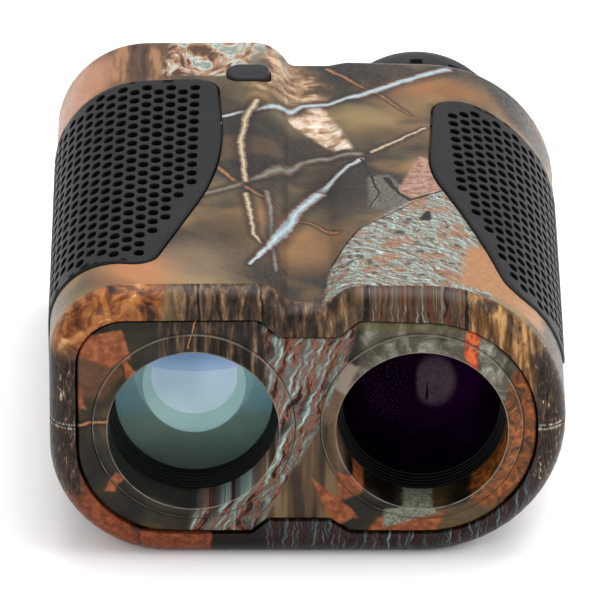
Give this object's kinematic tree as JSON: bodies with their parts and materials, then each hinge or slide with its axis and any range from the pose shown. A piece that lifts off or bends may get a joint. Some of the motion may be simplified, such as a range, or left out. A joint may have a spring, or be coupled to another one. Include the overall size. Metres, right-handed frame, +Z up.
{
  "type": "laser rangefinder",
  "caption": "Handheld laser rangefinder with two front windows, camouflage clamshell housing, mesh rubber grips, rear eyepiece and top button.",
  "frame": {"origin": "middle of the footprint, on the surface the flat bottom rests on", "axes": "+Z up; the two windows look along -Y and the eyepiece along +Y, the longest way; +X is to the right of someone facing the windows, on the eyepiece's side"},
  "size_m": [0.076, 0.1086, 0.0424],
  "materials": {
    "camo_shell": "forest-print camouflage film under a satin clear coat",
    "camo_plate": "forest-print camouflage film under a satin clear coat",
    "grip_rubber": "matt, with staggered oval recesses",
    "button_rubber": "matt silicone",
    "eyepiece_rubber": "matt",
    "black_plastic": "fine-textured moulding",
    "black_metal": "black anodised",
    "receiver_glass": "blue-green multicoated",
    "viewing_glass": "violet multicoated",
    "clear_glass": "polished",
    "seal_rubber": "matt",
    "steel": "nickel plated",
    "brass": "plated can",
    "circuit_board": "solder mask",
    "battery_sleeve": "shrink sleeve, no print"
  },
  "bodies": {
    "housing": {"upper_shell": "camo_shell", "lower_shell": "camo_shell", "front_plate": "camo_plate", "receiver_bezel": "camo_plate", "viewing_bezel": "camo_plate", "left_grip": "grip_rubber", "right_grip": "grip_rubber", "battery_holder": "black_plastic", "prism_housing": "black_plastic", "optics_cradle": "black_plastic", "processor_chip": "black_plastic", "objective_retaining_ring": "black_metal", "receiver_retaining_ring": "black_metal", "objective_barrel": "black_metal", "receiver_barrel": "black_metal", "eyepiece_tube": "black_metal", "receiver_lens": "receiver_glass", "objective_lens": "viewing_glass", "receiver_filter": "clear_glass", "half_prism": "clear_glass", "roof_prism": "clear_glass", "reticle_display": "clear_glass", "objective_seal": "seal_rubber", "receiver_seal": "seal_rubber", "battery_contact": "steel", "power_switch": "steel", "mode_switch": "steel", "case_screw_front": "steel", "case_screw_middle": "steel", "case_screw_rear": "steel", "strap_bar": "steel", "photodiode": "brass", "laser_emitter": "brass", "hv_transformer": "brass", "receiver_board": "circuit_board", "laser_board": "circuit_board", "main_board": "circuit_board", "side_board": "circuit_board", "battery": "battery_sleeve"},
    "power_button": {"power_button": "button_rubber"},
    "mode_button": {"mode_button": "button_rubber"},
    "diopter_ring": {"diopter_ring": "black_plastic", "eyecup": "eyepiece_rubber"},
    "eyepiece_cell": {"eyepiece_cell": "black_metal", "field_lens": "clear_glass", "eye_lens": "clear_glass"},
    "cap_contact": {"cap_contact": "steel"},
    "battery_cap": {"battery_cap": "black_plastic", "cap_seal": "seal_rubber"}
  },
  "joints": [
    {"name": "power_button_press", "type": "slide", "parent": "housing", "child": "power_button", "axis": [0, 0, -1], "range_m": [0, 0.0006], "stiffness_N_per_m": 1200, "springref_m": -0.0006},
    {"name": "mode_button_press", "type": "slide", "parent": "housing", "child": "mode_button", "axis": [1, 0, 0], "range_m": [0, 0.0005], "stiffness_N_per_m": 1200, "springref_m": -0.0005},
    {"name": "diopter_turn", "type": "hinge", "parent": "housing", "child": "diopter_ring", "pos_m": [0.0165, 0.0457, 0.021], "axis": [0, 1, 0], "range_deg": [-60, 60]},
    {"name": "eyepiece_focus", "type": "slide", "parent": "housing", "child": "eyepiece_cell", "axis": [0, 1, 0], "range_m": [-0.001, 0.001]},
    {"name": "battery_cap_travel", "type": "slide", "parent": "housing", "child": "cap_contact", "axis": [0, 1, 0], "range_m": [0, 0.003]},
    {"name": "battery_cap_turn", "type": "hinge", "parent": "cap_contact", "child": "battery_cap", "pos_m": [-0.0183, 0.043, 0.02], "axis": [0, 1, 0], "range_deg": [0, 1080]}
  ],
  "couplings": [
    {"joint": "eyepiece_focus", "follows": "diopter_turn", "m_per_rad": 0.00095397},
    {"joint": "battery_cap_travel", "follows": "battery_cap_turn", "m_per_rad": 0.00015914}
  ]
}
